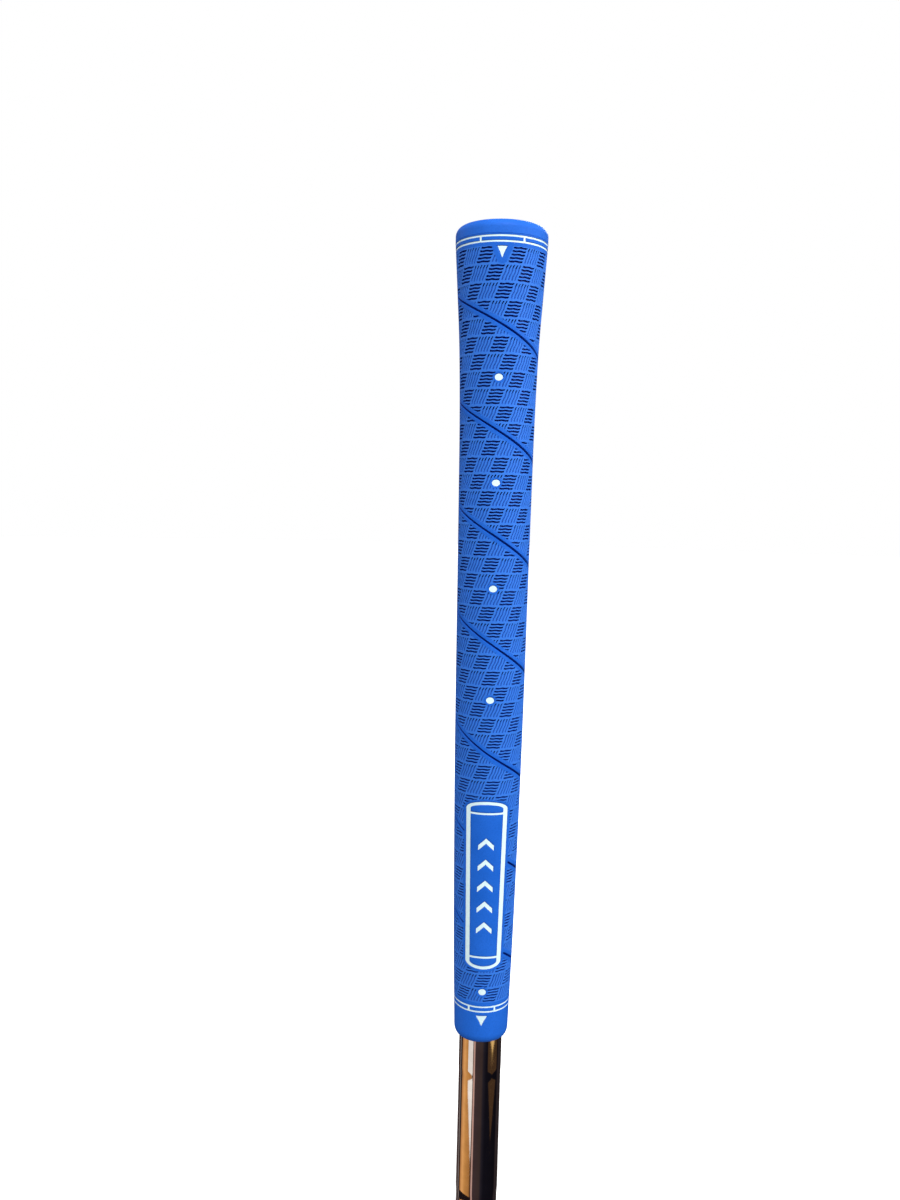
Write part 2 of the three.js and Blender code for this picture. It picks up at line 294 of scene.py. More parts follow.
def spiral_crossings():
    """Heights where the spiral crosses the middle of the front, half way between the dots."""
    upper = dot_heights[:4]
    gap = upper[0] - upper[1]
    found = [upper[0] + 1.5 * gap, upper[0] + 0.5 * gap]
    found += [(high + low) / 2 for high, low in zip(upper, upper[1:])]
    found.append(upper[-1] - (upper[-2] - upper[-1]) / 2)
    while found[-1] > mouth - spiral_overrun:
        found.append(found[-1] - spiral_pitch_low)
    return np.array(found)


crossings = spiral_crossings()


def spiral_distance(angle, height, radius):
    """Signed distance to the nearest turn of the spiral. The angle is 0 at the front."""
    turn = angle / (2 * math.pi)
    nearest = np.full(height.shape, far)
    for number in range(len(crossings)):
        position = np.clip(number + turn, 0, len(crossings) - 1)
        level = np.interp(position, np.arange(len(crossings)), crossings)
        gap = height - (level - spiral_lean * np.sin(angle))
        rise = spiral_pitch / (2 * math.pi) + spiral_lean * np.cos(angle)
        gap = gap * np.cos(np.arctan2(rise, radius))
        nearest = np.where(np.abs(gap) < np.abs(nearest), gap, nearest)
    return nearest


def spiral_edge(angle, height, radius):
    """Signed distance to the edge of the spiral groove."""
    return np.abs(spiral_distance(angle, height, radius)) - spiral_half


print("spiral crosses the front at", np.round((crossings - mouth) / MM, 1), "mm")

# %% [markdown]
# ## Outlines of the enamel marks
#
# Each mark is drawn flat, as it looks from straight in front. The outline is used twice: to
# sink a recess in the rubber and to build the enamel that fills it. Its sizes come from the
# solid's box.

# %% Outlines as lists of points
badge_shoulder = 0.9  # how square the badge's ends are
dot_share = 0.95  # the fill draws back a little from its edge as it dries
arrow_waist = 0.44  # of the arrow's half width, half way up
chevron_rise = 2.4 / 4.1  # of the chevron's height


def straight(start, end, count):
    """Points from start towards end, which is left out."""
    start, end = np.array(start), np.array(end)
    return [tuple(start + (end - start) * number / count) for number in range(count)]


def bowed(start, end, rise, count=24):
    """Points of a round-shouldered curve from start to its mirror, bowed up by rise; end is not used.
    """
    points = []
    for step in range(count):
        t = (1 - math.cos(math.pi * step / count)) / 2
        lift = 4 * rise * t * (1 - t)
        x = (1 - t) ** 3 + 3 * badge_shoulder * t * (1 - t) * (1 - 2 * t) - t**3
        points.append((start[0] * x, start[1] + lift))
    return points


def dot_outline(node, count=40):
    low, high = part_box(node)
    half_width, half_height = dot_share * (high.x - low.x) / 2, dot_share * (high.z - low.z) / 2
    turns = [2 * math.pi * step / count for step in range(count)]
    return [(half_width * math.cos(t), middle_height(node) + half_height * math.sin(t))
            for t in turns]


def arrow_outline(node):
    """A triangle on its point with hollow sides."""
    low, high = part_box(node)
    half = (high.x - low.x) / 2
    right = [(0, low.z), (half * arrow_waist, middle_height(node)), (half, high.z)]
    return right + [(-x, z) for x, z in right[:0:-1]]


def chevron_outline(node):
    low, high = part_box(node)
    half = (high.x - low.x) / 2
    rise = (high.z - low.z) * chevron_rise
    stroke = (high.z - low.z) - rise
    return [(-half, low.z), (0, low.z + rise), (half, low.z),
            (half, low.z + stroke), (0, high.z), (-half, low.z + stroke)]


# %% The badge's frame
badge_low, badge_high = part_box("badge_frame_enamel")
badge_rise = 2.5 * MM
badge_bar = 1.35 * MM
badge_arc = 1.0 * MM
badge_line = 0.6 * MM
badge_line_inset = 1.3 * MM
badge_taper = 1.0 * MM  # how much narrower each side is at the foot
badge_corner_low = badge_low.z + badge_rise
badge_corner_high = badge_high.z - badge_rise
badge_half_top = badge_high.x
badge_half_low = badge_half_top - badge_taper


def badge_half(height):
    share = (height - badge_low.z) / (badge_high.z - badge_low.z)
    return badge_half_low + (badge_half_top - badge_half_low) * share


def badge_cell(low, high, inset, low_rise, high_rise):
    """A four-sided outline inside the bars, with its lower and upper edges bowed outwards."""
    half_low, half_high = badge_half(low) - inset, badge_half(high) - inset
    return (bowed((-half_low, low), (half_low, low), -low_rise)
            + straight((half_low, low), (half_high, high), 4)
            + bowed((half_high, high), (-half_high, high), high_rise)
            + straight((-half_high, high), (-half_low, low), 4))


window_low = badge_corner_low + badge_line_inset + badge_line
window_high = badge_corner_high - badge_line_inset - badge_line
lens_rise = badge_rise - badge_arc
badge_outer = badge_cell(badge_corner_low, badge_corner_high, 0, badge_rise, badge_rise)
badge_windows = [
    badge_cell(badge_corner_low, window_low - badge_line, badge_bar, lens_rise, 0),
    badge_cell(window_low, window_high, badge_bar, 0, 0),
    badge_cell(window_high + badge_line, badge_corner_high, badge_bar, 0, lens_rise),
]
chevron_nodes = [f"chevron_enamel_{number}" for number in range(1, 6)]
badge_size = (2 * badge_half_top, badge_high.z - badge_low.z)
print(f"badge {badge_size[0] / MM:.1f} mm wide, {badge_size[1] / MM:.1f} mm tall")

# %% Signed distance to an outline
mark_reach = 3 * MM  # further off than this, the distance no longer matters


def outline_distance(x, z, outline):
    """Negative inside a closed outline, positive outside, in metres."""
    nearest = np.full(x.shape, far)
    inside = np.zeros(x.shape, bool)
    for (ax, az), (bx, bz) in zip(outline, outline[1:] + outline[:1]):
        wide, tall = bx - ax, bz - az
        along = np.clip(((x - ax) * wide + (z - az) * tall) / (wide**2 + tall**2), 0, 1)
        nearest = np.minimum(nearest, np.hypot(x - ax - along * wide, z - az - along * tall))
        if tall != 0:
            inside ^= ((az > z) != (bz > z)) & (x < ax + (z - az) * wide / tall)
    return np.where(inside, -nearest, nearest)


def distance_to_marks(angle, height, radius, outlines, holes=()):
    """Signed distance to any of some outlines on the front, less their holes."""
    x = np.where(np.cos(angle) > 0, radius * np.sin(angle), far)
    result = np.full(height.shape, mark_reach)
    for sign, outline in [(1, outline) for outline in outlines] + [(-1, hole) for hole in holes]:
        (left, low), (right, high) = np.min(outline, 0), np.max(outline, 0)
        close = (x > left - mark_reach) & (x < right + mark_reach)
        close &= (height > low - mark_reach) & (height < high + mark_reach)
        if close.any():
            found = sign * outline_distance(x[close], height[close], outline)
            nearer = np.minimum if sign > 0 else np.maximum
            result[close] = nearer(result[close], found)
    return result


# %% [markdown]
# ## The woven sleeve
#
# The sleeve could be a smooth tube with a bump pattern, but the grooves are over half a
# millimetre deep and shadows lie in them, so they are real geometry here. Thousands of
# small cuts with operators would be slow and would leave slivers. So the mesh is worked out
# row by row: grid lines run along every groove edge and floor, and lean as the cells lean.
# Where the spiral or the edge of a mark crosses the grid, the nearest corners are moved
# onto it, which keeps its edge clean. The grip is made in several lengths, because one mesh
# would be too heavy.

# %% Grid lines of one row and one cell
a_touch = 1e-6 * MM  # to count a place on a limit as inside it


def groove_stations(middles, half_step, half, floor_half):
    """Places across a run of grooves, each with 1 on a groove's floor and 0 elsewhere."""
    stations = []
    for number, middle in enumerate(middles):
        stations += [(middle - half, 0), (middle - floor_half, 1)]
        stations += [(middle + floor_half, 1), (middle + half, 0)]
        if number < len(middles) - 1:
            stations.append((middle + half_step, 0))
    return stations


def column_stations():
    """(offset from the cell's middle, on a floor, inside the reach of a round groove)."""
    middles = [(number - line_count // 2) * rib_spacing for number in range(line_count)]
    stations = groove_stations(middles, rib_spacing / 2, upright_half, upright_floor_half)
    stations.append((cell_width / 2, 0))
    reach = middles[-1] + upright_floor_half + a_touch
    return np.array([(offset, floor, abs(offset) < reach) for offset, floor in stations])


def level_stations():
    """(height, row, on a floor, inside the reach of an upright groove, place in its row)."""
    levels = [(weave_top, 0, 0, 0, -0.5)]
    for row in range(row_count):
        spacing = line_share * row_pitch[row]
        middles = [spacing * number for number in range(line_count)]
        reach = groove_floor_half + a_touch
        for drop, floor in groove_stations(middles, spacing / 2, groove_half, groove_floor_half):
            reached = -reach < drop < middles[-1] + reach
            centre = (drop - middles[line_count // 2]) / row_pitch[row]
            levels.append((row_tops[row] - drop, row, floor, reached, centre))
        levels.append((row_tops[row] - (middles[-1] + row_pitch[row]) / 2, row, 0, 0, 0.5))
    return np.array(levels)


column_offset, column_floor, column_reached = column_stations().T
level_height, level_row, level_floor, level_reached, level_centre = level_stations().T
print(f"{len(level_height)} levels, {len(column_offset)} columns to a cell")

# %% The front or back half, unrolled
def flat_half():
    """Places round and heights of every grid corner, and how deep its weave groove is."""
    height, row, centre = level_height[:, None], level_row[:, None], level_centre[:, None]
    number = level_row.astype(int)
    position = row + (row_tops[number][:, None] - height) / row_pitch[number][:, None]
    widest = math.pi * body_rings[:, 1].max() / 2
    leftmost = int((-widest - first_cell) / cell_width) - 1
    rightmost = int((widest - first_cell + row_shift * (row_count + 1)) / cell_width) + 2
    cells = np.arange(leftmost, rightmost + 1)
    cell = np.repeat(cells, len(column_offset))[None, :]
    offset, column_on_floor, column_in_reach = [
        np.tile(part, len(cells))[None, :] for part in (column_offset, column_floor, column_reached)]
    across = first_cell + cell * cell_width - row_shift * position + offset
    round_floor = level_floor[:, None] * column_in_reach
    upright_floor = level_reached[:, None] * column_on_floor
    upright_floor = upright_floor * np.where(centre < top_end_from, top_end_share, upright_share)
    runs_round = (cell + row) % 2 == 1
    depth = np.where(runs_round, round_floor, upright_floor)
    wave = 2 * math.pi * wave_count
    up = wave_height * np.cos(wave * offset / cell_width) * (np.abs(centre) < wave_reach)
    sideways = wave_height * np.cos(wave * centre)
    return across + sideways, height + up, depth


# %% Moving corners onto a line
largest_step = 2 * MM  # a bigger change along one grid edge is a jump, and not a line crossed
snap_share = 0.62  # of a grid edge, as far as a corner may move


def snap(across, height, distance, locked):
    """Moves the nearest grid corners onto the line where distance is 0, and locks them."""
    value = distance(across, height)
    best = np.full(value.shape, np.inf)
    new_across, new_height = across.copy(), height.copy()
    for first, second in ((np.s_[:-1], np.s_[1:]), (np.s_[:, :-1], np.s_[:, 1:])):
        a, b = value[first], value[second]
        crosses = (a * b < 0) & (np.abs(a - b) < largest_step)
        share = np.where(crosses, a / np.where(crosses, a - b, 1), 0)
        step_across = across[second] - across[first]
        step_height = height[second] - height[first]
        length = np.hypot(step_across, step_height)
        for here, t in ((first, share), (second, share - 1)):
            moved = np.abs(t) * length
            better = crosses & (moved < best[here]) & (np.abs(t) < snap_share) & ~locked[here]
            best[here] = np.where(better, moved, best[here])
            new_across[here] = np.where(better, across[here] + t * step_across, new_across[here])
            new_height[here] = np.where(better, height[here] + t * step_height, new_height[here])
    locked |= np.isfinite(best)
    return new_across, new_height, locked


def fade(distance, start, width):
    """0 below start, 1 beyond start plus width, and smooth between."""
    t = np.clip((distance - start) / width, 0, 1)
    return t * t * (3 - 2 * t)


# %% How much room the marks and the spiral keep clear
dot_clearance = 0.65 * MM
arrow_clearance = 1.75 * MM
badge_clearance = 0.75 * MM
trim_width = 0.25 * MM
parting_margin = 0.3 * MM
end_overrun = 0.3 * MM  # past the weave's ends
end_trim_width = 0.1 * MM
spiral_run_out = 3 * MM  # over which the spiral rises to the surface at the weave's ends
rim_depth = 0.14 * MM  # at the outline, just below the face of the enamel
recess_depth = 0.5 * MM
rim_edge, floor_edge = 0.02 * MM, -0.04 * MM  # from the edge of a recess
enamel_gap = 0.05 * MM
dot_outlines = [dot_outline(node) for node in dot_nodes]
arrow_outlines = [arrow_outline("butt_arrow_enamel"), arrow_outline("tip_arrow_enamel")]
chevron_outlines = [chevron_outline(node) for node in chevron_nodes]
small_outlines = dot_outlines + arrow_outlines + chevron_outlines
print(len(small_outlines) + 1, "marks to keep clear of")

# %% Carve one half
def sunk_marks(angle, height, radius):
    """Signed distance to the edge of the recesses, which are a little wider than the enamel."""
    frame_part = distance_to_marks(angle, height, radius, [badge_outer], badge_windows)
    small_part = distance_to_marks(angle, height, radius, small_outlines)
    return np.minimum(frame_part, small_part) - enamel_gap


def sink_marks(depth, marks):
    """Lowers the corners on an outline to the rim's depth, and those inside it to the floor."""
    with_rims = np.where(marks < rim_edge, rim_depth, depth)
    return np.where(marks < floor_edge, recess_depth, with_rims)


def spiral_only(angle, height, radius):
    """The spiral's distance, pushed away where the badge interrupts it."""
    badge = distance_to_marks(angle, height, radius, [badge_outer])
    return np.where(badge < badge_clearance, far, spiral_distance(angle, height, radius))


def carved_half(turn):
    """One half's grid corners. The turn is 0 for the front half and pi for the back.

    Gives each corner's angle, height, radius, depth and weave share, and whether it lies
    inside the half and left of its middle.
    """
    across, height, weave = flat_half()
    locked = np.zeros(across.shape, bool)
    for line in (sunk_marks, spiral_edge, spiral_distance):

        def unrolled(across, height):
            radius = body_radius(height)
            return line(across / radius + turn, height, radius)

        across, height, locked = snap(across, height, unrolled, locked)
    radius = body_radius(height)
    angle = across / radius + turn
    spiral = np.abs(spiral_only(angle, height, radius))
    side = math.pi / 2 * radius - np.abs(across)
    ends = np.minimum(weave_top - height, height - weave_bottom)
    clear = fade(spiral, spiral_margin, trim_width) * fade(side, parting_margin, trim_width)
    for outlines, clearance in (([badge_outer], badge_clearance), (dot_outlines, dot_clearance),
                                (arrow_outlines, arrow_clearance)):
        marks = distance_to_marks(angle, height, radius, outlines)
        clear = clear * fade(marks, clearance, trim_width)
    clear = clear * fade(ends, -end_overrun, end_trim_width)
    hollow = np.clip(1 - spiral / spiral_half, 0, 1) * fade(ends, 0, spiral_run_out)
    depth = np.maximum(weave * clear * groove_depth, spiral_depth * hollow)
    depth = sink_marks(depth, sunk_marks(angle, height, radius))
    return angle, height, radius, depth, clear, side > smallest_gap, across < 0


# %% Stitching the two halves together
def two_triangles(numbers, depth):
    """Splits every square of a grid along the diagonal whose ends lie equally deep."""
    a, b, c, d = numbers[1:, :-1], numbers[1:, 1:], numbers[:-1, 1:], numbers[:-1, :-1]
    steps_ac = np.abs(depth[1:, :-1] - depth[:-1, 1:])
    steps_bd = np.abs(depth[1:, 1:] - depth[:-1, :-1])
    split = (steps_bd < steps_ac)[..., None]
    first = np.where(split, np.stack([a, b, d], -1), np.stack([a, b, c], -1))
    second = np.where(split, np.stack([b, c, d], -1), np.stack([a, c, d], -1))
    level = np.broadcast_to(np.arange(len(a))[:, None], a.shape)
    found = np.concatenate([first.reshape(-1, 3), second.reshape(-1, 3)])
    level = np.concatenate([level.ravel(), level.ravel()])
    p, q, r = found.T
    kept = (p != q) & (q != r) & (p != r)
    return found[kept], level[kept]


def woven_grid():
    """Corner places, depths, weave shares and triangles, and each triangle's level."""
    level_count = len(level_height)
    edge_radius = body_radius(level_height)
    none = np.zeros(level_count)
    places = [np.stack([x, none, level_height], 1) for x in (edge_radius, -edge_radius)]
    depths, shares = [none, none], [none, none]
    triangles, triangle_level = [], []
    count = 2 * level_count
    for half, turn in enumerate((0, math.pi)):
        angle, height, radius, depth, clear, inside, left = carved_half(turn)
        numbers = np.empty(inside.shape, int)
        numbers[inside] = count + np.arange(inside.sum())
        count += int(inside.sum())
        right_edge = np.arange(level_count)[:, None] + half * level_count
        left_edge = np.arange(level_count)[:, None] + (1 - half) * level_count
        numbers = np.where(inside, numbers, np.where(left, left_edge, right_edge))
        found, level = two_triangles(numbers, np.where(inside, depth, 0))
        triangles.append(found)
        triangle_level.append(level)
        angle, height, reach = angle[inside], height[inside], (radius - depth)[inside]
        places.append(np.stack([reach * np.sin(angle), -reach * np.cos(angle), height], 1))
        depths.append(depth[inside])
        shares.append(clear[inside])
    return [np.concatenate(part) for part in (places, depths, shares, triangles, triangle_level)]


def mesh_piece(name, places, depths, shares, triangles):
    """A mesh object from corner places and triangles, with unused corners left out."""
    used, faces = np.unique(triangles, return_inverse=True)
    mesh = bpy.data.meshes.new(name)
    mesh.vertices.add(len(used))
    mesh.vertices.foreach_set("co", places[used].astype(np.float32).ravel())
    mesh.loops.add(faces.size)
    mesh.loops.foreach_set("vertex_index", faces.astype(np.int32).ravel())
    mesh.polygons.add(faces.size // 3)
    mesh.polygons.foreach_set("loop_start", np.arange(0, faces.size, 3, dtype=np.int32))
    mesh.update(calc_edges=True)
    # The groove depth later sets a painted shade in the rubber's colour, and the weave share a painted
    # highlight.
    for label, values in (("groove", depths / groove_depth), ("woven", shares)):
        attribute = mesh.attributes.new(label, "FLOAT", "POINT")
        attribute.data.foreach_set("value", values[used].astype(np.float32))
    piece = bpy.data.objects.new(name, mesh)
    bpy.context.scene.collection.objects.link(piece)
    return piece


places, depths, shares, triangles, triangle_level = woven_grid()
print(f"woven part: {len(places)} corners, {len(triangles)} triangles")

# %% [markdown]
# ## Closing each length into a tube
#
# So far a length is only an outer skin. A real sleeve is a tube, so its two open ends are
# turned inwards with extrude, and the two rings that are left inside are bridged. Each
# length is then a closed wall of rubber round the bore.

# %% Turn the open ends inwards and bridge them
def close_tube(piece, low_rings, high_rings):
    """Carries a skin's open ends through rings of (radius, height), then joins them inside."""
    heights = [vertex.co.z for vertex in piece.data.vertices]
    middle = (min(heights) + max(heights)) / 2
    for is_low, ring_list in ((True, low_rings), (False, high_rings)):
        edit_mesh(piece, "EDGE", lambda e: e.is_boundary and (e.verts[0].co.z < middle) == is_low)
        for radius, height in ring_list:
            bpy.ops.mesh.extrude_edges_move()
            data = bmesh.from_edit_mesh(piece.data)
            for vertex in data.verts:
                if vertex.select:
                    share = radius / math.hypot(vertex.co.x, vertex.co.y)
                    vertex.co = (vertex.co.x * share, vertex.co.y * share, height)
            bmesh.update_edit_mesh(piece.data)
        leave_edit()
    edit_mesh(piece, "EDGE", lambda e: e.is_boundary)
    bpy.ops.mesh.bridge_edge_loops()
    bpy.ops.mesh.select_all(action="SELECT")
    bpy.ops.mesh.normals_make_consistent(inside=False)
    leave_edit()
    return declare(piece, "rubber_sleeve")


sleeve_pieces = []
length_count = 6
levels_per_row = (len(level_height) - 1) // row_count
for number, group in enumerate(np.array_split(np.arange(row_count), length_count), 1):
    first, last = group[0] * levels_per_row, (group[-1] + 1) * levels_per_row
    chosen = (triangle_level >= first) & (triangle_level < last)
    piece = mesh_piece(f"sleeve_weave_{number}", places, depths, shares, triangles[chosen])
    ends = [[(bore_radius, level_height[level])] for level in (last, first)]
    sleeve_pieces.append(close_tube(piece, *ends))

# %% [markdown]
# ## The plain bands at the two ends
#
# Below and above the weave the rubber is smooth and carries the white rings. Each ring is
# two lines joined by short ties. The same way of working serves here, with a finer and
# straighter grid: grid lines run exactly along the edges of the lines and the ties.

# %% The recesses of a ring
ring_line_width = 0.6 * MM
tie_width = 0.7 * MM
tie_angles = [math.radians(angle) for angle in (27.5, 90, 152.5, -152.5, -90, -27.5)]


def ring_lines(node):
    """(bottom, top) of the two lines of a ring, the lower one first."""
    low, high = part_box(node)
    return [(low.z, low.z + ring_line_width), (high.z - ring_line_width, high.z)]


def ring_recess(angle, height, radius, node):
    """True where a ring's lines or ties are sunk into the rubber."""
    lines = ring_lines(node)
    gap = enamel_gap * 0.9  # just short of the grid line outside each edge
    sunk = np.zeros(height.shape, bool)
    for low, high in lines:
        sunk |= (height > low - gap) & (height < high + gap)
    between = (height > lines[0][0]) & (height < lines[1][1])
    for tie in tie_angles:
        away = np.abs((angle - tie + math.pi) % (2 * math.pi) - math.pi) * radius
        sunk |= between & (away < tie_width / 2 + gap)
    return sunk


# %% A plain length of sleeve
level_step = 0.22 * MM
angle_step = math.tau / 250


def filled_in(exact, step):
    """The exact places in order with even steps between them, less the last place."""
    exact = sorted(exact)
    found = []
    for start, end in zip(exact, exact[1:]):
        count = max(1, round((end - start) / step))
        found += list(np.linspace(start, end, count, endpoint=False))
    return found


def plain_levels(low, high, node):
    """Heights of grid lines from high to low, with close pairs along the ring's edges."""
    exact = [low, high]
    for edge in np.ravel(ring_lines(node)):
        exact += [edge - enamel_gap, edge + enamel_gap]
    return np.array((filled_in(exact, level_step) + [high])[::-1])


def plain_angles(radius):
    """Angles of grid lines all the way round, with close pairs along the ties' edges."""
    exact = [-math.pi, math.pi]
    for tie in tie_angles:
        for reach in (tie_width / 2 + enamel_gap, tie_width / 2 - enamel_gap):
            exact += [tie - reach / radius, tie + reach / radius]
    return np.array(filled_in(exact, angle_step))


def plain_length(name, heights, radii, node):
    """The skin of a smooth length, with a ring and any other marks that lie on it."""
    angles = plain_angles(radii.mean())
    radius = np.repeat(radii[:, None], len(angles), 1)
    height = np.repeat(heights[:, None], len(angles), 1)

    def marks_here(across, height):
        return sunk_marks(across / radius, height, radius)

    locked = height > ring_lines(node)[0][0] - ring_guard
    across, height, _ = snap(angles[None, :] * radius, height, marks_here, locked)
    angle = across / radius
    depth = np.where(ring_recess(angle, height, radius, node), recess_depth, 0.0)
    depth = sink_marks(depth, sunk_marks(angle, height, radius))
    reach = radius - depth
    skin = np.stack([reach * np.sin(angle), -reach * np.cos(angle), height], -1)
    numbers = np.arange(angle.size).reshape(angle.shape)
    numbers, around = [np.concatenate([part, part[:, :1]], 1) for part in (numbers, depth)]
    found, _ = two_triangles(numbers, around)
    return mesh_piece(name, skin.reshape(-1, 3), depth.ravel(), np.zeros(depth.size), found)


ring_guard = 0.3 * MM  # the grid stays put this far below a ring, and above that
band_heights = plain_levels(level_height[0], joint_height, "butt_ring_enamel")
band = plain_length("sleeve_butt_band", band_heights, body_radius(band_heights), "butt_ring_enamel")
close_tube(band, [(bore_radius, level_height[0])], [(bore_radius, joint_height)])

# %% The collar and its lip
lip_length = 5 * MM
lip_slope = 1 * MM  # over which the lip widens into the bore
collar_heights = plain_levels(mouth, level_height[-1], "tip_ring_enamel")
rise = np.clip(1 - (collar_heights - mouth) / mouth_rounding, 0, 1)
rounded = land_radius + (body_radius(mouth) - land_radius) * np.sqrt(1 - rise**2)
collar_radii = np.where(rise > 0, rounded, body_radius(collar_heights))
collar = plain_length("sleeve_collar", collar_heights, collar_radii, "tip_ring_enamel")
lip_rings = [(lip_radius, mouth), (lip_radius, mouth + lip_length)]
lip_rings.append((bore_radius, mouth + lip_length + lip_slope))
close_tube(collar, lip_rings, [(bore_radius, level_height[-1])])
sleeve_pieces += [band, collar]

# %% [markdown]
# ## The butt cap
#
# The cap is a turned plug of the same rubber, glued into the wide end. Its edge is well
# rounded for the palm, a small vent hole lets air out while the grip is pushed on, and a
# shallow ring is sunk in the face. Half of its outline is drawn once and spun full circle.

# %% Spin the cap's outline
def arc(radius, height, reach, start, end, count):
    """Points round a centre at (radius, height), from one angle to another in degrees."""
    turns = [math.radians(start + (end - start) * step / count) for step in range(count + 1)]
    return [(radius + reach * math.cos(turn), height + reach * math.sin(turn)) for turn in turns]


cap_radius = cap_high.x
cap_rounding = 2.8 * MM
plug_radius = bore_radius - 0.1 * MM
plug_chamfer = 0.8 * MM
vent_radius = 1.5 * MM
vent_chamfer = 0.4 * MM
ring_radius = 9 * MM
ring_half = 0.5 * MM
ring_depth = 0.4 * MM
soft = 0.08 * MM  # how far the small edges are softened
joint_top = joint_height + 0.05 * MM
ring_outer, ring_inner = ring_radius + ring_half, ring_radius - ring_half
cap_outline = [(vent_radius, cap_low.z + vent_chamfer), (vent_radius + vent_chamfer, cap_low.z)]
cap_outline += [(plug_radius - plug_chamfer, cap_low.z), (plug_radius, cap_low.z + plug_chamfer)]
cap_outline += [(plug_radius, joint_top), (cap_radius - soft, joint_top)]
cap_outline.append((cap_radius, joint_top + soft))
cap_outline += arc(cap_radius - cap_rounding, butt - cap_rounding, cap_rounding, 0, 90, 14)
cap_outline += [(ring_outer + soft, butt), (ring_outer, butt - soft)]
cap_outline += [(ring_outer - soft, butt - ring_depth), (ring_inner + soft, butt - ring_depth)]
cap_outline += [(ring_inner, butt - soft), (ring_inner - soft, butt)]
cap_outline += [(vent_radius + 3 * soft, butt), (vent_radius + soft, butt - soft)]
cap_outline.append((vent_radius, butt - 3 * soft))
cap = declare(turned_ring("cap", cap_outline, 160), "butt_cap", 30)

# %% [markdown]
# ## The shaft
#
# The shaft is a thin steel tube drawn down in short steps, then plated. Each step is a
# shallow S and not a sharp cone, and a mirror shows that at once: the bright bands bend and
# pinch where the surface tips. So the outline eases from one diameter to the next over a few
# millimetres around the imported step. The cut end shows the tube's wall.

# %% Spin the shaft's outline
def eased_step(high, low, length, count=14):
    """Points from one diameter down to the next, along half a cosine wave."""
    middle = (high[1] + low[1]) / 2
    shares = [number / count for number in range(count + 1)]
    return [(high[0] + (low[0] - high[0]) * (1 - math.cos(math.pi * share)) / 2,
             middle + (0.5 - share) * length) for share in shares]


burr = 0.08 * MM  # the width of the dulled edge at the cut end
step_length = 4 * MM
smallest_step = 0.01 * MM
shaft_rings = rings("shaft_tube")
inner_side = [(inner, height) for height, outer, inner in shaft_rings]
outer_side = [(outer, height) for height, outer, inner in shaft_rings]
for radius, height in outer_side:
    print(f"shaft radius {radius / MM:.3f} mm at {height / MM:.2f} mm")
smooth_side = [(outer_side[0][0] - burr, shaft_low.z), (outer_side[0][0], shaft_low.z + burr)]
for low, high in zip(outer_side[1:], outer_side[2:]):
    if low[0] < high[0] - smallest_step:
        smooth_side += eased_step(high, low, step_length)[::-1]
smooth_side.append(outer_side[-1])
shaft = turned_ring("shaft", smooth_side + inner_side[::-1], 192)
declare(shaft, "shaft_tube", 25)

# %% [markdown]
# ## Enamel in the recesses
#
# The white marks are paint filled into sunk shapes, so each is a thin plate that follows
# the round surface and stays below it. It is easiest to make the plate flat: its outline is
# filled, cut into narrow strips so that it can bend, and given its thickness. Then every
# corner is moved straight back onto the surface, as the mark was pressed into the rubber.

# %% Flat plates, wrapped onto the surface
enamel_sink = 0.12 * MM
enamel_thickness = 0.3 * MM


def wrapped_plate(name, node, outline, holes=(), strip=0.4 * MM):
    plate = join(name, [flat_outline(name, points) for points in (outline, *holes)])
    edit_mesh(plate, "EDGE", lambda edge: True)
    bpy.ops.mesh.fill(use_beauty=True)
    low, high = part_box(node)
    upright = int((high.x - low.x) / strip / 2)
    rung = 5 * strip
    cuts = [((number * strip, 0, 0), (1, 0, 0)) for number in range(-upright, upright + 1)]
    cuts += [((0, 0, low.z + number * rung), (0, 0, 1))
             for number in range(1, int((high.z - low.z) / rung) + 1)]
    for place, direction in cuts:
        bpy.ops.mesh.select_all(action="SELECT")
        bpy.ops.mesh.bisect(plane_co=place, plane_no=direction)
    bpy.ops.mesh.select_all(action="SELECT")
    bpy.ops.mesh.extrude_region_move(TRANSFORM_OT_translate={"value": (0, enamel_thickness, 0)})
    merge_and_leave()
    for vertex in plate.data.vertices:
        x, sunk, z = vertex.co
        outside = float(body_radius(z))
        lean = math.asin(max(-1, min(1, x / outside)))
        reach = outside - enamel_sink - sunk
        vertex.co = (reach * math.sin(lean), -reach * math.cos(lean), z)
    return declare(plate, node, 30)


enamel_pieces = [
    wrapped_plate(f"dot_{number}", node, outline, strip=0.2 * MM)
    for number, (node, outline) in enumerate(zip(dot_nodes, dot_outlines), 1)]
enamel_pieces += [
    wrapped_plate(f"chevron_{number}", node, outline)
    for number, (node, outline) in enumerate(zip(chevron_nodes, chevron_outlines), 1)]
enamel_pieces += [wrapped_plate(name, f"{name}_enamel", outline)
                  for name, outline in zip(("butt_arrow", "tip_arrow"), arrow_outlines)]
enamel_pieces.append(wrapped_plate("badge_frame", "badge_frame_enamel", badge_outer, badge_windows))

# %% [markdown]
# ## Enamel rings
#
# A ring's lines are two spun hoops with softly rounded edges. Its ties are six short bars,
# modelled once and copied round the grip, then joined to the hoops as one casting of paint.

# %% Hoops and ties
soft_edge = 0.06 * MM
tie_inset = 0.1 * MM  # the ties stop inside the lines


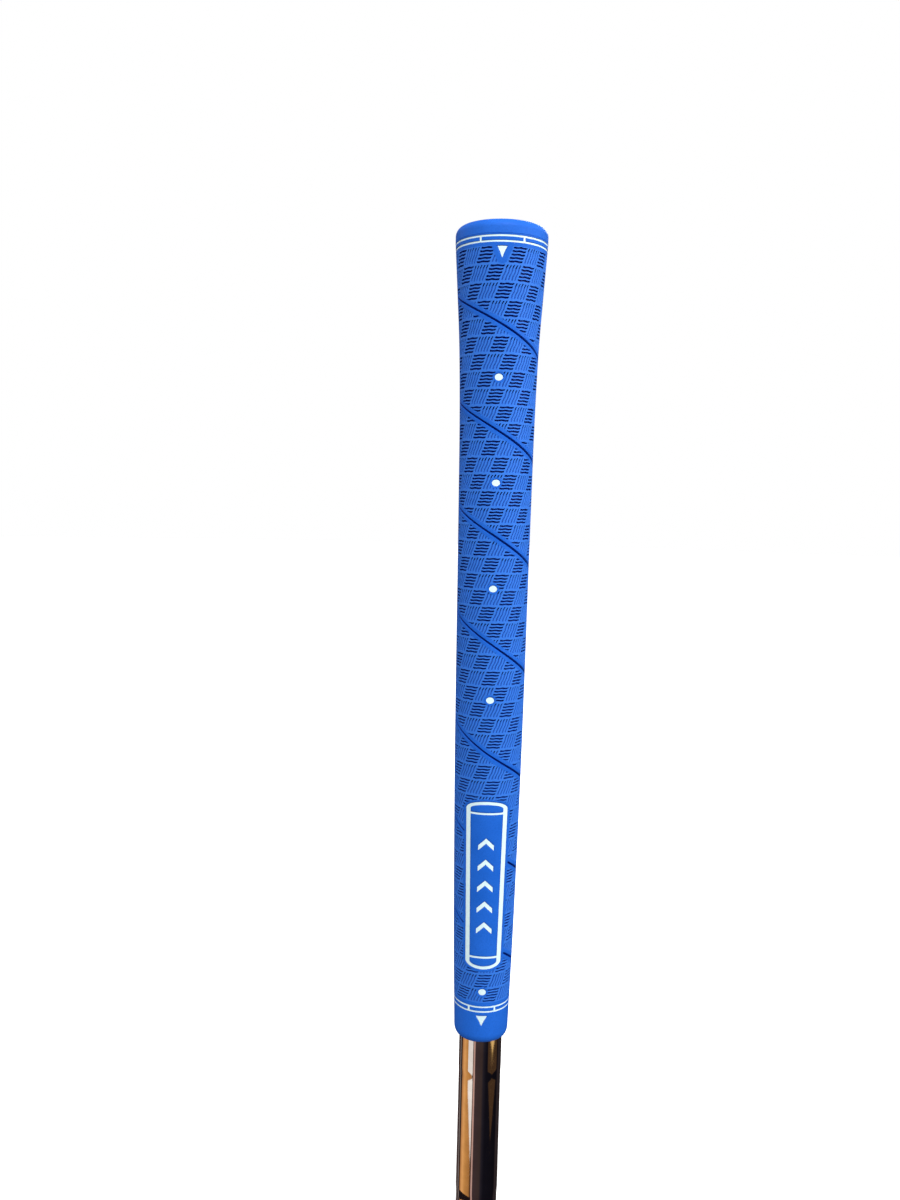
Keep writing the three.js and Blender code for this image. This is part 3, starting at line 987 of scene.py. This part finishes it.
def enamel_ring(name, node):
    parts = []
    for low, high in ring_lines(node):
        face = float(body_radius((low + high) / 2)) - enamel_sink
        back = face - enamel_thickness
        outline = [(back, low), (face - soft_edge, low), (face, low + soft_edge)]
        outline += [(face, high - soft_edge), (face - soft_edge, high), (back, high)]
        parts.append(turned_ring(name, outline, 180))
    (low, _), (_, high) = ring_lines(node)
    middle = (low + high) / 2
    face = float(body_radius(middle)) - enamel_sink
    tie = add_primitive(bpy.ops.mesh.primitive_cube_add, name, size=1,
                        location=(0, -face + enamel_thickness / 2, middle),
                        scale=(tie_width, enamel_thickness, high - low - 2 * tie_inset))
    settle(tie)
    edit_mesh(tie, "EDGE", lambda e: max(vertex.co.y for vertex in e.verts) < -face + same_height)
    bpy.ops.mesh.bevel(offset=soft_edge, segments=2)
    leave_edit()
    for angle in tie_angles:
        copy = tie.copy()
        copy.data = tie.data.copy()
        copy.data.transform(Matrix.Rotation(angle, 4, "Z"))
        bpy.context.scene.collection.objects.link(copy)
        parts.append(copy)
    bpy.data.objects.remove(tie)
    return declare(join(name, parts), node, 30)


enamel_pieces += [enamel_ring(name, f"{name}_enamel") for name in ("butt_ring", "tip_ring")]

# %% [markdown]
# ## Colours and nodes
#
# Colours are written as they would be read off a paint card, in sRGB, and one function
# turns them to the linear values that Blender mixes. A second function adds any node with
# its settings and its links, so that a material reads as a short list. Where an input is
# given a whole node, it takes that node's first output. A noise's scale is how many of its
# grains fit in a metre, so it is one metre over the size of a grain.

# %% Two helpers for materials
def linear(code):
    """Linear colour from an sRGB hex code."""
    channels = [int(code[place:place + 2], 16) / 255 for place in (1, 3, 5)]
    return (*(c / 12.92 if c <= 0.04045 else ((c + 0.055) / 1.055) ** 2.4 for c in channels), 1.0)


def set_inputs(node, inputs):
    """Sets or links inputs, by name or number, to values, to sockets or to other nodes."""
    for socket, value in inputs.items():
        if isinstance(value, bpy.types.Node):
            value = value.outputs[0]
        if isinstance(value, bpy.types.NodeSocket):
            node.id_data.links.new(value, node.inputs[socket])
        else:
            node.inputs[socket].default_value = value


def add_node(tree, kind, inputs=(), **settings):
    """Adds a node with its settings and its inputs."""
    node = tree.nodes.new(kind)
    for name, value in settings.items():
        setattr(node, name, value)
    set_inputs(node, dict(inputs))
    return node


def new_material(name):
    material = bpy.data.materials.new(name)
    material.use_nodes = True
    tree = material.node_tree
    shader = next(node for node in tree.nodes if node.type == "BSDF_PRINCIPLED")
    place = add_node(tree, "ShaderNodeTexCoord").outputs["Object"]
    return material, tree, shader, place


def set_stops(ramp_node, stops):
    """Sets a colour ramp to a list of (position, sRGB hex code or linear grey)."""
    elements = ramp_node.color_ramp.elements
    while len(elements) > 1:
        elements.remove(elements[-1])
    for number, (position, tone) in enumerate(stops):
        element = elements.new(position) if number else elements[0]
        element.position = position
        element.color = linear(tone) if isinstance(tone, str) else (tone, tone, tone, 1)


def give(material, pieces):
    for piece in pieces:
        piece.data.materials.clear()
        piece.data.materials.append(material)
    print(f"{material.name}: {len(pieces)} pieces")

# %% [markdown]
# ## Blue moulded rubber
#
# The sleeve is coloured natural rubber, cured in a blasted steel mould. The mould leaves a
# fine even grain of about a fifth of a millimetre that spreads highlights into a satin
# sheen. The floors of the grooves are painted a darker navy the deeper they are, a painted
# shade on top of the real shadows in them. The weave's area is painted a paler blue, a
# painted highlight for the light on its raised parts. Wide soft patches of slightly
# different blue come from handling.

# %% Rubber
patch_size = 1 / 60
speck_size = MM / 2.2
grain_size = MM / 5.2

rubber, tree, shader, place = new_material("moulded_natural_rubber_blue")
patches = add_node(tree, "ShaderNodeTexNoise", {"Vector": place, "Scale": 1 / patch_size, "Detail": 3})
land = add_node(tree, "ShaderNodeValToRGB", {"Fac": patches})
set_stops(land, [(0.3, "#1A5FC6"), (0.7, "#246AD6")])
specks = add_node(tree, "ShaderNodeTexNoise", {"Vector": place, "Scale": 1 / speck_size, "Detail": 4})
speck_share = add_node(tree, "ShaderNodeMapRange", {
    "Value": specks, "From Min": 0.45, "From Max": 0.75, "To Max": 0.35})
speckled = add_node(tree, "ShaderNodeMix", {0: speck_share, 6: land, 7: linear("#1650AE")},
                    data_type="RGBA")
# Painted highlight: the weave's area is painted a paler blue, for the light on its raised parts.
woven = add_node(tree, "ShaderNodeAttribute", attribute_name="woven").outputs["Fac"]
painted_ridge_highlight = add_node(tree, "ShaderNodeMath", {0: woven, 1: 0.65}, operation="MULTIPLY")
colour_with_painted_highlight = add_node(tree, "ShaderNodeMix", {
    0: painted_ridge_highlight, 6: speckled.outputs[2], 7: linear("#3E7EE0")}, data_type="RGBA")
# Painted shade: groove floors are painted dark navy by their depth, on top of their real shadows.
groove = add_node(tree, "ShaderNodeAttribute", attribute_name="groove").outputs["Fac"]
painted_groove_shade = add_node(tree, "ShaderNodeMapRange", {
    "Value": groove, "From Min": 0.05, "From Max": 0.7, "To Max": 0.98})
coloured = add_node(tree, "ShaderNodeMix", {
    0: painted_groove_shade, 6: colour_with_painted_highlight.outputs[2], 7: linear("#001F7A")}, data_type="RGBA")
dull = add_node(tree, "ShaderNodeMapRange", {"Value": specks, "To Min": 0.42, "To Max": 0.62})
grain = add_node(tree, "ShaderNodeTexNoise", {"Vector": place, "Scale": 1 / grain_size, "Detail": 2})
bump = add_node(tree, "ShaderNodeBump", {"Height": grain, "Strength": 0.35, "Distance": 0.05 * MM})
set_inputs(shader, {"Base Color": coloured.outputs[2], "Roughness": dull, "Normal": bump,
                    "IOR": 1.52, "Specular IOR Level": 0.1})
give(rubber, sleeve_pieces + [cap])

# %% [markdown]
# ## White enamel
#
# The marks are filled by hand with thick acrylic enamel, wiped level and dried. It is
# smooth but not flat: a gentle waviness and a few dusty patches show in its soft gloss.

# %% Enamel
cloud_size = MM / 0.9
wave_size = MM / 1.5

enamel, tree, shader, place = new_material("filled_acrylic_enamel_white")
cloud = add_node(tree, "ShaderNodeTexNoise", {"Vector": place, "Scale": 1 / cloud_size, "Detail": 4})
tint = add_node(tree, "ShaderNodeValToRGB", {"Fac": cloud})
set_stops(tint, [(0.3, "#D8F2F8"), (0.6, "#E2F8FC")])
dusty = add_node(tree, "ShaderNodeMapRange", {"Value": cloud, "To Min": 0.28, "To Max": 0.5})
waves = add_node(tree, "ShaderNodeTexNoise", {"Vector": place, "Scale": 1 / wave_size, "Detail": 2})
bump = add_node(tree, "ShaderNodeBump", {"Height": waves, "Strength": 0.15, "Distance": 0.04 * MM})
set_inputs(shader, {"Base Color": tint, "Roughness": dusty, "Normal": bump,
                    "Specular IOR Level": 0.3})
give(enamel, enamel_pieces)

# %% [markdown]
# ## Chrome plate
#
# The steel tube is polished, then plated with nickel and chromium. Plate is a near perfect
# mirror, so what the eye sees is the room. Its own marks are slight: faint polishing lines
# a third of a millimetre apart run round the tube, and handling hazes it in places.

# %% Chrome
haze_size = 1 / 180
line_width = MM / 3
line_length = 1 / 60

chrome, tree, shader, place = new_material("bright_chrome_plated_steel")
haze = add_node(tree, "ShaderNodeTexNoise", {"Vector": place, "Scale": 1 / haze_size, "Detail": 5})
tone = add_node(tree, "ShaderNodeValToRGB", {"Fac": haze})
set_stops(tone, [(0.35, "#DAD8D6"), (0.7, "#EDECEA")])
smear = add_node(tree, "ShaderNodeMapRange", {"Value": haze, "To Min": 0.02, "To Max": 0.07})
round_tube = add_node(tree, "ShaderNodeMapping", {
    "Vector": place, "Scale": (1 / line_length, 1 / line_length, 1 / line_width)})
lines = add_node(tree, "ShaderNodeTexNoise", {"Vector": round_tube, "Scale": 1, "Detail": 3})
bump = add_node(tree, "ShaderNodeBump", {"Height": lines, "Strength": 0.03, "Distance": 0.01 * MM})
set_inputs(shader, {"Base Color": tone, "Roughness": smear, "Normal": bump, "Metallic": 1.0})
give(chrome, [shaft])

# %% [markdown]
# ## Mounting tape
#
# Double-sided tape with a creped paper backing bonds the grip to the shaft. It keeps its
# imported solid, as its shape is right already, and gets the creases and the buff colour of
# paper. The creases are about half a millimetre apart and run round the shaft.

# %% Tape
crease_width = MM / 2
crease_length = 1 / 300

tape, tree, shader, place = new_material("creped_paper_tape_buff")
stretch = add_node(tree, "ShaderNodeMapping", {
    "Vector": place, "Scale": (1 / crease_length, 1 / crease_length, 1 / crease_width)})
creases = add_node(tree, "ShaderNodeTexNoise", {"Vector": stretch, "Scale": 1, "Detail": 5})
paper = add_node(tree, "ShaderNodeValToRGB", {"Fac": creases})
set_stops(paper, [(0.3, "#C2AC7C"), (0.7, "#DCCBA0")])
bump = add_node(tree, "ShaderNodeBump", {"Height": creases, "Strength": 0.6, "Distance": 0.1 * MM})
set_inputs(shader, {"Base Color": paper, "Roughness": 0.8, "Normal": bump})
give(tape, [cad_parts["grip_tape"]])

# %% [markdown]
# ## The camera
#
# The camera stands a third of a metre in front of the grip, two thirds of the way up it, and
# looks slightly down. That near view makes the wide end look larger than the shaft end.

# %% Camera
camera_data = bpy.data.cameras.new("camera")
camera_data.lens = 30.894
camera_data.sensor_width = 36
camera = bpy.data.objects.new("camera", camera_data)
bpy.context.scene.collection.objects.link(camera)
yaw, pitch, roll = math.radians(-1.52), math.radians(5.41), math.radians(-1.33)
level = math.cos(pitch)
forward = Vector((math.sin(yaw) * level, math.cos(yaw) * level, -math.sin(pitch)))
level_right = Vector((math.cos(yaw), -math.sin(yaw), 0))
level_down = forward.cross(level_right)
right = math.cos(roll) * level_right + math.sin(roll) * level_down
down = -math.sin(roll) * level_right + math.cos(roll) * level_down
turn = Matrix((right, -down, -forward)).transposed().to_4x4()
camera_place = (-5.0 * MM, -341.8 * MM, mouth + 182 * MM)
camera.matrix_world = Matrix.Translation(camera_place) @ turn
camera_data.clip_start = 0.01
bpy.context.scene.camera = camera
print("camera", [round(value, 4) for value in camera.location])

# %% [markdown]
# ## Floor and light
#
# The grip stands on a plain white floor in soft studio light. The light comes mostly from
# above and rakes down the grip, so the grooves that run round it stay dark and those that
# run along it stay bright. A mirror like chrome shows whatever surrounds it, and a white
# room would turn it white. So gloss sees a dim warm room with a few windows instead. A ray
# of light knows whether the camera, a gloss or a soft surface sent it, and the world gives
# each of these its own surroundings.

# %% Floor
floor = add_primitive(bpy.ops.mesh.primitive_circle_add, "floor", vertices=96, radius=6,
                      fill_type="NGON")
floor.visible_glossy = False
floor.visible_diffuse = False
floor_material, tree, shader, place = new_material("matt_white_paint")
middle = add_node(tree, "ShaderNodeVectorMath", {0: place}, operation="LENGTH")
away = add_node(tree, "ShaderNodeMapRange", {
    "Value": middle.outputs["Value"], "From Min": 0.03, "From Max": 0.2, "To Max": 0.4})
set_inputs(shader, {"Base Color": linear("#F4F4F4"), "Roughness": 0.9,
                    "Emission Color": (1, 1, 1, 1), "Emission Strength": away})
floor.data.materials.append(floor_material)

# %% The room that gloss sees
world = bpy.data.worlds.new("room")
bpy.context.scene.world = world
world.use_nodes = True
tree = world.node_tree
tree.nodes.clear()
direction = add_node(tree, "ShaderNodeTexCoord").outputs["Generated"]
axes = add_node(tree, "ShaderNodeSeparateXYZ", {"Vector": direction})
toward = add_node(tree, "ShaderNodeMath", {0: axes.outputs["Y"], 1: -1}, operation="MULTIPLY")
azimuth = add_node(tree, "ShaderNodeMath", {0: axes.outputs["X"], 1: toward}, operation="ARCTAN2")
share = add_node(tree, "ShaderNodeMapRange", {
    "Value": azimuth, "From Min": -math.pi, "From Max": math.pi})
walls = add_node(tree, "ShaderNodeValToRGB", {"Fac": share})
set_stops(walls, [
    (0.0, "#4A3A38"), (0.14, "#4A3A3A"), (0.147, "#CDBFB6"), (0.156, "#33292B"),
    (0.188, "#2A2022"), (0.205, "#C88850"), (0.25, "#F0AC68"), (0.3, "#D2924F"),
    (0.37, "#B87C42"), (0.392, "#5A3A24"), (0.402, "#3C2A2C"), (0.409, "#D8A898"),
    (0.425, "#C8A094"), (0.433, "#443436"), (0.53, "#40322F"), (0.56, "#242028"),
    (0.6, "#14121A"), (0.8, "#100E14"), (0.83, "#342A2C"), (0.87, "#2A2426"), (1.0, "#4A3A38")])
window_softness = 0.004  # of a full turn


def window(behind, left, right, wide_height, point_height, point, colour):
    """A tall window seen in the gloss, which narrows to a point as the gaze drops."""
    reach = add_node(tree, "ShaderNodeMapRange", {
        "Value": axes.outputs["Z"], "From Min": point_height, "From Max": wide_height})
    left_side, right_side = [
        add_node(tree, "ShaderNodeMapRange", {"Value": reach, "To Min": point, "To Max": side})
        for side in (left, right)]
    from_left, from_right = [
        add_node(tree, "ShaderNodeMath", {0: more, 1: less}, operation="SUBTRACT")
        for more, less in ((share, left_side), (right_side, share))]
    inside = add_node(tree, "ShaderNodeMath", {0: from_left, 1: from_right}, operation="MINIMUM")
    soft = add_node(tree, "ShaderNodeMapRange", {"Value": inside, "From Max": window_softness})
    return add_node(tree, "ShaderNodeMix", {0: soft, 6: behind, 7: linear(colour)},
                    data_type="RGBA").outputs[2]


room = window(walls, 0.314, 0.397, -0.515, -0.566, 0.39, "#FFF4EC")
room = window(room, 0.62, 0.79, -0.5, -0.55, 0.7, "#4A3422")
room = window(room, 0.645, 0.745, -0.476, -0.49, 0.694, "#F0C078")
room = window(room, 0.16, 0.398, -0.655, -0.59, 0.2, "#1E1618")  # the foot of the gold wall

# %% What each kind of ray sees
rays = add_node(tree, "ShaderNodeLightPath").outputs
above = add_node(tree, "ShaderNodeValToRGB", {"Fac": axes.outputs["Z"]})
set_stops(above, [(0.0, 0.12), (0.1, 0.3), (0.35, 1), (0.55, 1), (0.75, 0.3)])
fill = add_node(tree, "ShaderNodeBackground", {"Color": above, "Strength": 1.75})
seen = add_node(tree, "ShaderNodeBackground", {"Color": (1, 1, 1, 1), "Strength": 1.0})
gloss = add_node(tree, "ShaderNodeBackground", {"Color": room, "Strength": 1.0})
lit = add_node(tree, "ShaderNodeMixShader", {0: rays["Is Glossy Ray"], 1: fill, 2: gloss})
world_shader = add_node(tree, "ShaderNodeMixShader", {0: rays["Is Camera Ray"], 1: lit, 2: seen})
add_node(tree, "ShaderNodeOutputWorld", {"Surface": world_shader})
print(f"{len(tree.nodes)} nodes in the world")

# %% Lamps
def lamp(name, place, target, size, power, gloss):
    """A round lamp. Its gloss is how strongly it shows in reflections."""
    data = bpy.data.lights.new(name, "AREA")
    data.shape = "DISK"
    data.size = size
    data.energy = power
    data.specular_factor = gloss
    light = bpy.data.objects.new(name, data)
    bpy.context.scene.collection.objects.link(light)
    aim = (Vector(target) - Vector(place)).to_track_quat("-Z", "Y")
    light.matrix_world = Matrix.Translation(place) @ aim.to_matrix().to_4x4()
    print(f"{name} lamp: {power} W")


lamp("key", (0.18, -0.62, 1.0), (0, 0, 0.2), 0.3, 6.5, gloss=0.3)
lamp("side", (0.8, -0.35, 0.5), (0, 0, 0.18), 0.4, 3, gloss=0.3)
lamp("back", (0.25, 0.85, 0.8), (0, 0, 0.2), 0.4, 5, gloss=0.0)
bpy.context.scene.view_settings.view_transform = "Standard"
